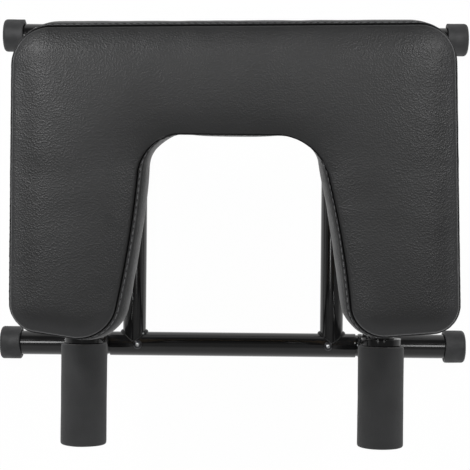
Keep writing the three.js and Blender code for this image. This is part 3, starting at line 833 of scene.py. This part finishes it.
def lid(ring, spacing):
    """Triangles over a ring and evenly spaced points inside it, which come after the ring's own."""
    flat = [Vector((p.x, p.y)) for p in ring]
    count = len(flat)
    edges = [(i, (i + 1) % count) for i in range(count)]
    outline = np.array([(p.x, p.y) for p in flat])
    ahead = np.roll(outline, -1, axis=0)
    inner = []
    for j, y in enumerate(np.arange(outline[:, 1].min(), outline[:, 1].max(), spacing * 0.87)):
        crosses = (outline[:, 1] > y) != (ahead[:, 1] > y)
        first, second = outline[crosses], ahead[crosses]
        cuts = first[:, 0] + (y - first[:, 1]) / (second[:, 1] - first[:, 1]) * (second[:, 0] - first[:, 0])
        for x in np.arange(outline[:, 0].min(), outline[:, 0].max(), spacing) + (j % 2) * spacing / 2:
            clear = np.hypot(outline[:, 0] - x, outline[:, 1] - y).min()
            if np.sum(x < cuts) % 2 and clear > spacing * 0.6:
                inner.append(Vector((x, y)))
    result = geometry.delaunay_2d_cdt(flat + inner, edges, [], 1, 1e-5)
    return result[0][count:], result[2]


def add_lid(points, faces, first, ring, spacing, place, under=False):
    """Closes the ring whose points start at an index. New points go where the function puts them."""
    extra, triangles = lid(ring, spacing)
    count, start = len(ring), len(points)
    points.extend(place(p) for p in extra)
    for face in triangles:
        order = reversed(face) if under else face
        faces.append(tuple(first + i if i < count else start + i - count for i in order))


def closed_pad(rings, spacing):
    """Points and faces of the closed pad form over a set of rings."""
    count = len(rings[0])
    points = [p.copy() for ring in rings for p in ring]
    faces = grid_faces(len(rings), count)
    for ring, first, under in ((rings[0], 0, True), (rings[-1], (len(rings) - 1) * count, False)):
        z = ring[0].z
        add_lid(points, faces, first, ring, spacing, lambda p, z=z: Vector((p.x, p.y, z)), under)
    return points, faces


def mesh_arrays(mesh):
    points = np.empty(len(mesh.vertices) * 3, np.float64)
    mesh.vertices.foreach_get("co", points)
    normals = np.empty(len(mesh.vertices) * 3, np.float32)
    mesh.vertices.foreach_get("normal", normals)
    return points.reshape(-1, 3), normals.reshape(-1, 3).astype(float)


def applied(obj):
    """The object's mesh with its modifiers applied, as a new mesh."""
    graph = bpy.context.evaluated_depsgraph_get()
    return bpy.data.meshes.new_from_object(obj.evaluated_get(graph))


def relaxed(mesh, values, rounds):
    """Evens out one vector a point over the mesh's edges."""
    edges = np.empty(len(mesh.edges) * 2, np.int64)
    mesh.edges.foreach_get("vertices", edges)
    a, b = edges.reshape(-1, 2).T
    degree = np.bincount(a, minlength=len(values)) + np.bincount(b, minlength=len(values))
    for _ in range(rounds):
        total = np.zeros_like(values)
        np.add.at(total, a, values[b])
        np.add.at(total, b, values[a])
        values = 0.5 * values + 0.5 * total / np.maximum(degree, 1)[:, None]
    return values


CLOTH_SPACING = 9.0
VOXEL = 5.5
SHRINK = 2.0
CLOTH_STEPS = 20
MOST_SWELL = 6.0


def inflate(seam_line):
    """Puffs a remeshed copy of the pad with cloth pressure, and returns a function that gives how
    far the cover moves at any point. The seam and the underside are held."""
    over, crown = (0, 20, 42, 62, 78, 90), (1, 2.6, 8, 16, 26, 36)
    rings, _ = pad_rings((90, 60, 30), over, crown, pad_steps(CLOTH_SPACING))
    points, faces = closed_pad(rings, CLOTH_SPACING)
    mesh = bpy.data.meshes.new("pad_cloth")
    mesh.from_pydata([tuple(p * MM) for p in points], [], faces)
    mesh.update()
    cloth_piece = bpy.data.objects.new("pad_cloth", mesh)
    SCENE.collection.objects.link(cloth_piece)
    remesh = cloth_piece.modifiers.new("even", "REMESH")
    remesh.mode = "VOXEL"
    remesh.voxel_size = VOXEL * MM
    even = applied(cloth_piece)
    cloth_piece.modifiers.clear()
    cloth_piece.data = even
    rest, normals = mesh_arrays(even)
    seam = np.array([tuple(p * MM) for p in seam_line[::4]])
    away = np.array([np.sqrt(((seam - p) ** 2).sum(1).min()) for p in rest]) / MM
    shrink = np.array([SHRINK * smooth_step((d - 4.0) / 26.0) for d in away])
    start = rest - normals * shrink[:, None] * MM
    even.vertices.foreach_set("co", start.ravel())
    even.update()
    group = cloth_piece.vertex_groups.new(name="held")
    for i, p in enumerate(rest):
        weight = max(1.0 - smooth_step((away[i] - 3.0) / 9.0), 1.0 - smooth_step((p[2] / MM - 299.5) / 7.0))
        if weight > 0:
            group.add([i], float(weight), "REPLACE")
    cloth = cloth_piece.modifiers.new("cloth", "CLOTH")
    settings = cloth.settings
    settings.quality = 6
    settings.tension_stiffness = 8
    settings.compression_stiffness = 8
    settings.shear_stiffness = 4
    settings.bending_stiffness = 0.4
    settings.shrink_min = -0.01
    settings.use_pressure = True
    settings.uniform_pressure_force = 6.0
    settings.effector_weights.gravity = 0.0
    settings.vertex_group_mass = "held"
    cloth.point_cache.frame_start = 1
    cloth.point_cache.frame_end = CLOTH_STEPS
    for step in range(1, CLOTH_STEPS + 1):
        SCENE.frame_set(step)
    moved, _ = mesh_arrays(applied(cloth_piece))
    SCENE.frame_set(1)
    shift = (moved - start) / MM
    length = np.linalg.norm(shift, axis=1)
    limited = MOST_SWELL * np.tanh(length / MOST_SWELL)
    scale = np.where(length > 1e-6, limited / np.maximum(length, 1e-6), 1.0)
    shift = shift * scale[:, None] - normals * shrink[:, None]
    shift = relaxed(even, shift, 12)
    even.vertices.foreach_set("co", rest.ravel())
    even.calc_loop_triangles()
    triangles = [tuple(t.vertices) for t in even.loop_triangles]
    tree = bvhtree.BVHTree.FromPolygons([Vector(p) for p in rest], triangles)
    bpy.data.objects.remove(cloth_piece)

    def movement(point):
        place, _, index, _ = tree.find_nearest(point * MM)
        a, b, c = triangles[index]
        corners = [Vector(rest[i]) for i in (a, b, c)]
        units = (Vector((1, 0, 0)), Vector((0, 1, 0)), Vector((0, 0, 1)))
        weights = geometry.barycentric_transform(place, *corners, *units)
        return Vector(shift[a]) * weights.x + Vector(shift[b]) * weights.y + Vector(shift[c]) * weights.z

    return movement


def grid_normals(grid):
    around = np.roll(grid, -1, axis=1) - np.roll(grid, 1, axis=1)
    upward = np.empty_like(grid)
    upward[1:-1] = grid[2:] - grid[:-2]
    upward[0], upward[-1] = grid[1] - grid[0], grid[-1] - grid[-2]
    normals = np.cross(around, upward)
    return normals / np.maximum(np.linalg.norm(normals, axis=2, keepdims=True), 1e-9)


def spaced_from_seam(grid, seam, fine, coarse):
    """The same surface with its rows at set distances from the seam, so that a stitched seam can be
    shaped on it. Returns the new rows and each row's signed distance, band side positive."""
    steps = np.linalg.norm(np.diff(grid, axis=0), axis=2)
    height = np.concatenate((np.zeros((1, grid.shape[1])), np.cumsum(steps, axis=0)))
    height -= height[seam]
    near = np.array(fine)[:, None] * np.ones_like(height[:1])
    below = np.linspace(1.0, 0.0, coarse, endpoint=False)[:, None] * (height[0] + fine[-1]) - fine[-1]
    above = fine[-1] + np.linspace(0.0, 1.0, coarse + 1)[1:, None] * (height[-1] - fine[-1])
    places = np.concatenate((below, -near[::-1], np.zeros_like(height[:1]), near, above))
    rows = np.empty((len(places), grid.shape[1], 3))
    for k in range(grid.shape[1]):
        for c in range(3):
            rows[:, k, c] = np.interp(places[:, k], height[:, k], grid[:, k, c])
    return rows, -places


# Distances of the rows beside the seam, and how many rows go over the rest of each side
FINE = (0.25, 0.5, 0.8, 1.1, 1.5, 1.9, 2.3, 2.8, 3.3, 3.9, 4.8, 6.4)
COARSE = 14


def ridge(u, middle, width):
    """One at its middle, fading on both sides."""
    return np.exp(-((u - middle) / width) ** 2)


def seam_rim(line):
    """A weight at each point of the seam, at the outer sides and in front, for the panel's painted edge
    highlight and a lower ridge beside the seam.
    """
    run = np.roll(line, -1, axis=0) - np.roll(line, 1, axis=0)
    out_x, out_y = np.array((run[:, 1], -run[:, 0])) / np.hypot(run[:, 0], run[:, 1])
    front = np.clip((-60.0 - line[:, 1]) / 20.0, 0.0, 1.0)
    rolled = np.clip(np.sign(line[:, 0]) * out_x, 0.0, 1.0) + np.clip(-out_y, 0.0, 1.0) * front
    return np.clip(rolled, 0.0, 1.0)[None, :]


def seam_relief(u, pull, rim, along):
    """How far the cover stands out: the seam's groove, the stitched edge and its line, and puckers."""
    height = (-2.2 * ridge(u, 0.1, 0.6) + (0.45 + 0.45 * pull * (1 - 0.8 * rim)) * ridge(u, 1.5, 0.5)
              - (0.35 + 0.65 * (1 - pull)) * ridge(u, STITCH_LINE, 0.55) + 0.3 * ridge(u, 4.2, 1.3)
              - 0.15 * (1 - pull) * ridge(u, -1.0, 1.4))
    pucker = np.array([noise.noise(Vector((a / 17.0, 0.0, 5.0)))
                       + 0.6 * noise.noise(Vector((a / 8.0, 3.0, 9.0))) for a in along])
    return height + 0.4 * pucker[None, :] * np.exp(-np.abs(u) / 9.0) * (1 - np.exp(-(u / 3.0) ** 2))


def point_shade(obj, name, shade):
    """A float attribute for the material, from one value for each point of the rows."""
    values = np.zeros(len(obj.data.vertices))
    values[:shade.size] = np.clip(shade, 0.0, 1.0).ravel()
    obj.data.attributes.new(name, "FLOAT", "POINT").data.foreach_set("value", values)


def seat_pad():
    """The stitched cover. Returns the line its stitches lie on, the way out there, and their number."""
    under = (90, 75, 60, 45, 30, 15)
    over = (*range(0, 60, 6), *range(60, 80, 3), 80, 82, 84, 86, 88, 90)
    crown = (0.3, 0.6, 1.0, 1.4, 1.8, 2.2, 2.6, 3.2, 4.2, 6.0, 9.0, 13.0, 18.0, 24.0, 30.0, 36.0)
    steps = pad_steps(1.15)
    rings, seam = pad_rings(under, over, crown, steps)
    rings = [pad_outline(HEM_Z, inset_plan(BASE_PLAN, HEM_INSET), steps), *rings]
    seam += 1
    movement = inflate(rings[seam])
    grid = np.array([[tuple(p + movement(p)) for p in ring] for ring in rings])
    grid, u = spaced_from_seam(grid, seam, FINE, COARSE)
    middle = len(FINE) + COARSE
    normals = grid_normals(grid)
    line = grid[middle]
    lengths = np.linalg.norm(np.roll(line, -1, axis=0) - line, axis=1)
    along = np.concatenate(([0.0], np.cumsum(lengths)[:-1]))
    stitches = round(float(lengths.sum()) / STITCH)
    phase = along / float(lengths.sum()) * stitches * math.pi
    pull = np.abs(np.sin(phase))[None, :]
    rim = seam_rim(line)
    shaped = grid + normals * seam_relief(u, pull, rim, along)[:, :, None]
    levels, count = shaped.shape[:2]
    points = [Vector(p) for p in shaped.reshape(-1, 3)]
    faces = grid_faces(levels, count)

    def crown_place(p):
        base = Vector((p.x, p.y, PAD_TOP))
        return base + movement(base)

    top_ring, under_ring = [[Vector(p) for p in shaped[level]] for level in (-1, 0)]
    add_lid(points, faces, (levels - 1) * count, top_ring, 4.0, crown_place)
    add_lid(points, faces, 0, under_ring, 9.0, lambda p: Vector((p.x, p.y, HEM_Z)), True)
    cover = make_object("pad_cover", (points, faces), VINYL, angle=180)
    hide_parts("seat_cushion")
    # Painted shade, darkest in the seam's groove and along the stitch line
    line_shade = (1 - 0.6 * pull) * ridge(u, STITCH_LINE, 0.5)
    point_shade(cover, "crease_shade", 1.3 * ridge(u, 0.2, 0.6) + 0.8 * line_shade)
    # Painted highlight along the panel's outer edges, just inside the seam, with a faint wider lightening
    # further in
    point_shade(cover, "rim_highlight", rim * (ridge(u, -1.7, 0.9) + 0.12 * ridge(u, -7.0, 7.0)))
    row = middle - 1 - FINE.index(STITCH_LINE)
    return shaped[row], normals[row], stitches


DASH = 2.6
THREAD_RADIUS = 0.22


def stitch_row(line, outward, stitches):
    """Thread dashes along the stitch line, just outside the seam."""
    line = np.concatenate((line, line[:1]))
    outward = np.concatenate((outward, outward[:1]))
    lengths = np.linalg.norm(np.diff(line, axis=0), axis=1)
    along = np.concatenate(([0.0], np.cumsum(lengths)))
    total = along[-1]
    parts = []
    for k in range(stitches):
        middle = (k + 0.5) * total / stitches
        places = (middle + np.linspace(-DASH, DASH, 7)) % total
        path, sizes = [], []
        for n, place in enumerate(places):
            p = np.array([np.interp(place, along, line[:, c]) for c in range(3)])
            q = np.array([np.interp(place, along, outward[:, c]) for c in range(3)])
            arch = math.sin(math.pi * n / 6)
            path.append(Vector(p + q * (0.05 + 0.3 * arch)))
            sizes.append(THREAD_RADIUS + 0.24 * math.sqrt(arch))
        parts.append(sweep(path, lambda i, sizes=sizes: sizes[i], 8))
    make_object("pad_stitching", merge_parts(parts), THREAD, angle=80)


stitch_row(*seat_pad())


# The cover's edge, turned under the board and stapled

# The turned-under strip's outline, as [inset from the cover's lower edge, z]
FLAP_SECTION = ((-0.4, 299.0), (0.2, 297.9), (1.6, 297.1), (4.0, 296.85), (9.0, 296.9), (15.0, 296.85),
                (20.0, 297.0), (21.0, 297.3), (20.9, 297.9), (15.0, 297.9), (4.0, 298.0))
STAPLE_INSET = 13.0
STAPLE_Z = 296.3
STAPLE_SPACING = 27.0


def under_flap():
    rings = []
    steps = pad_steps(5.0)
    for inset, z in FLAP_SECTION:
        ring = pad_outline(z, inset_plan(BASE_PLAN, inset), steps)
        gather = smooth_step(inset / 8.0) * (1.0 if z < 297.5 else 0.0)
        shaped = []
        for i, p in enumerate(ring):
            wave = noise.noise(Vector((p.x / 6.0, p.y / 6.0, 2.0)))
            shaped.append(p + Vector((0, 0, -0.28 * gather * (0.5 + wave))))
        rings.append(shaped)
    count = len(rings[0])
    points = [p for ring in rings for p in ring]
    faces = [tuple(reversed(f)) for f in grid_faces(len(rings), count, True)]
    make_object("pad_flap", (points, faces), VINYL, angle=120)


def staple(middle, direction):
    """One flattened wire staple, lying under the flap."""
    across = Vector((-direction.y, direction.x, 0))
    section = ((-5.0, 1.2), (-5.0, 0.3), (-4.5, 0.0), (0.0, 0.0), (4.5, 0.0), (5.0, 0.3), (5.0, 1.2))
    return sweep([middle + across * reach + Vector((0, 0, z)) for reach, z in section], 0.5, 8)


def staples():
    ring = pad_outline(STAPLE_Z, inset_plan(BASE_PLAN, STAPLE_INSET), pad_steps(4.0))
    parts, run, next_place = [], 0.0, 12.0
    for i in range(len(ring)):
        step = (ring[(i + 1) % len(ring)] - ring[i])
        while run + step.length > next_place:
            place = ring[i] + step * ((next_place - run) / step.length)
            tilt = Matrix.Rotation(math.pi / 2 + 0.35 * math.sin(next_place), 3, "Z")
            parts.append(staple(place, tilt @ step.normalized()))
            next_place += STAPLE_SPACING
        run += step.length
    make_object("pad_staples", merge_parts(parts), ZINC, angle=60)


under_flap()
staples()

# CAD nodes that stay as they are get finished materials

KEPT = {"seat_board": PLYWOOD, "weld_nut": ZINC, "tee_nut": ZINC}
for node_name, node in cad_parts.items():
    for start, surface in KEPT.items():
        if node_name.startswith(start):
            node.data.materials.clear()
            node.data.materials.append(surface)


# Floor, world and lamps

def floor_surface():
    s = Surface("floor", (0.86, 0.86, 0.86), 0.9)
    s.mottle(14.0, 4.0, 0.3, (0.85, 0.85, 0.85), (0.88, 0.88, 0.88))
    glow = s.node("ShaderNodeEmission", {"Color": (1.0, 1.0, 1.0), "Strength": 1.0})
    rays = s.node("ShaderNodeLightPath").outputs
    seen = s.math("MAXIMUM", s.math("MAXIMUM", rays["Is Camera Ray"], rays["Is Glossy Ray"]),
                  rays["Is Transmission Ray"])
    shaders = {0: s.math("MULTIPLY", seen, 0.985), 1: s.shader.outputs["BSDF"], 2: glow.outputs["Emission"]}
    mix = s.node("ShaderNodeMixShader", shaders)
    s.feed(s.nodes["Material Output"].inputs["Surface"], mix.outputs["Shader"])
    return s.material


floor_mesh = bpy.data.meshes.new("floor")
FLOOR_REACH = 4.0
FLOOR_Z = -0.0002
edges = ((-1, -1), (1, -1), (1, 1), (-1, 1))
floor_mesh.from_pydata([(FLOOR_REACH * x, FLOOR_REACH * y, FLOOR_Z) for x, y in edges], [], [(0, 1, 2, 3)])
floor_mesh.materials.append(floor_surface())
floor = bpy.data.objects.new("floor", floor_mesh)
SCENE.collection.objects.link(floor)

world = bpy.data.worlds.new("world")
SCENE.world = world
sky = Nodes(world)
background = sky.nodes["Background"].inputs
sky.feed(background["Color"], (1.0, 1.0, 1.0))
direction = sky.node("ShaderNodeTexCoord").outputs["Generated"]
split = sky.node("ShaderNodeSeparateXYZ", {"Vector": direction}).outputs

# A light tent: bright low down all round, brighter in front than overhead and behind
SOFT = {"interpolation_type": "SMOOTHSTEP"}
overhead = sky.spread(split["Y"], 0.12, 0.34, 0.3, 0.12, **SOFT)
upper = sky.spread(split["Y"], -0.6, -0.25, 0.7, overhead, **SOFT)
studio = sky.spread(split["Z"], 0.1, 0.5, 0.85, upper, **SOFT)
rays = sky.node("ShaderNodeLightPath").outputs
either = sky.math("MAXIMUM", rays["Is Camera Ray"], rays["Is Transmission Ray"])
sky.feed(background["Strength"], sky.math("MAXIMUM", either, studio))


def lamp(name, place, aim, width, height, power):
    data = bpy.data.lights.new(name, "AREA")
    data.shape = "RECTANGLE"
    data.size, data.size_y = width, height
    data.energy = power
    obj = bpy.data.objects.new(name, data)
    obj.location = place
    direction = Vector(aim) - Vector(place)
    obj.rotation_euler = direction.to_track_quat("-Z", "Y").to_euler()
    obj.visible_camera = False
    SCENE.collection.objects.link(obj)


lamp("high_left", (-0.77, 0.72, 1.6), (-0.1, 0.1, 0.37), 0.2, 0.2, 15.5)
lamp("high_right", (0.77, 0.72, 1.6), (0.1, 0.1, 0.37), 0.2, 0.2, 11.5)
lamp("strip_left", (-0.46, 0.1, 1.62), (-0.2, 0.1, 0.02), 0.42, 0.13, 1.4)
lamp("strip_right", (0.46, 0.1, 1.62), (0.2, 0.1, 0.02), 0.42, 0.13, 1.1)

SCENE.view_settings.view_transform = "Standard"
